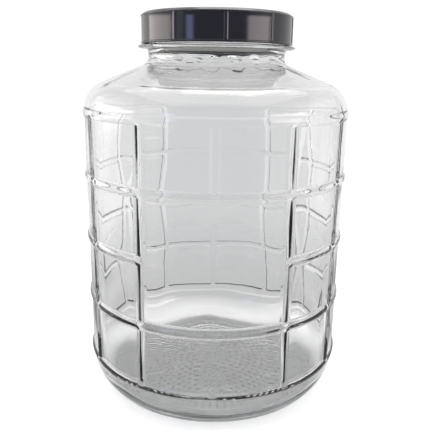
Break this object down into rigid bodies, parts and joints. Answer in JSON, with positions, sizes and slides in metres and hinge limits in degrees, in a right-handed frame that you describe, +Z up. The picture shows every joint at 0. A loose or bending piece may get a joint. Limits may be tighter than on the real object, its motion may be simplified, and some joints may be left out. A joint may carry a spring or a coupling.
{
  "type": "glass carboy",
  "caption": "Wide-mouth glass carboy with a grid of raised rings and ribs, a plain front panel and a dark screw cap that rises on its thread as it turns.",
  "frame": {"origin": "centre of the ring that the carboy stands on, at the level of the surface it stands on", "axes": "+Z up through the mouth; -Y is the front, where the rings and ribs leave a plain label panel; +X to the right seen from the front"},
  "size_m": [0.286, 0.286, 0.4089],
  "materials": {
    "clear_glass": "clear moulded glass, fire polished, with a dotted base",
    "cap_plastic": "glossy near-black plastic with a purple cast",
    "liner_foam": "matte off-white foam sheet"
  },
  "bodies": {
    "carboy": {"glass_carboy": "clear_glass"},
    "liner": {"cap_liner": "liner_foam"},
    "cap": {"screw_cap": "cap_plastic"}
  },
  "joints": [
    {"name": "cap_rise", "type": "slide", "parent": "carboy", "child": "liner", "axis": [0, 0, 1], "range_m": [0, 0.0481]},
    {"name": "cap_turn", "type": "hinge", "parent": "liner", "child": "cap", "pos_m": [0, 0, 0.404], "axis": [0, 0, 1], "range_deg": [0, 720]}
  ],
  "couplings": [
    {"joint": "cap_rise", "follows": "cap_turn", "m_per_rad": 0.0038197}
  ]
}
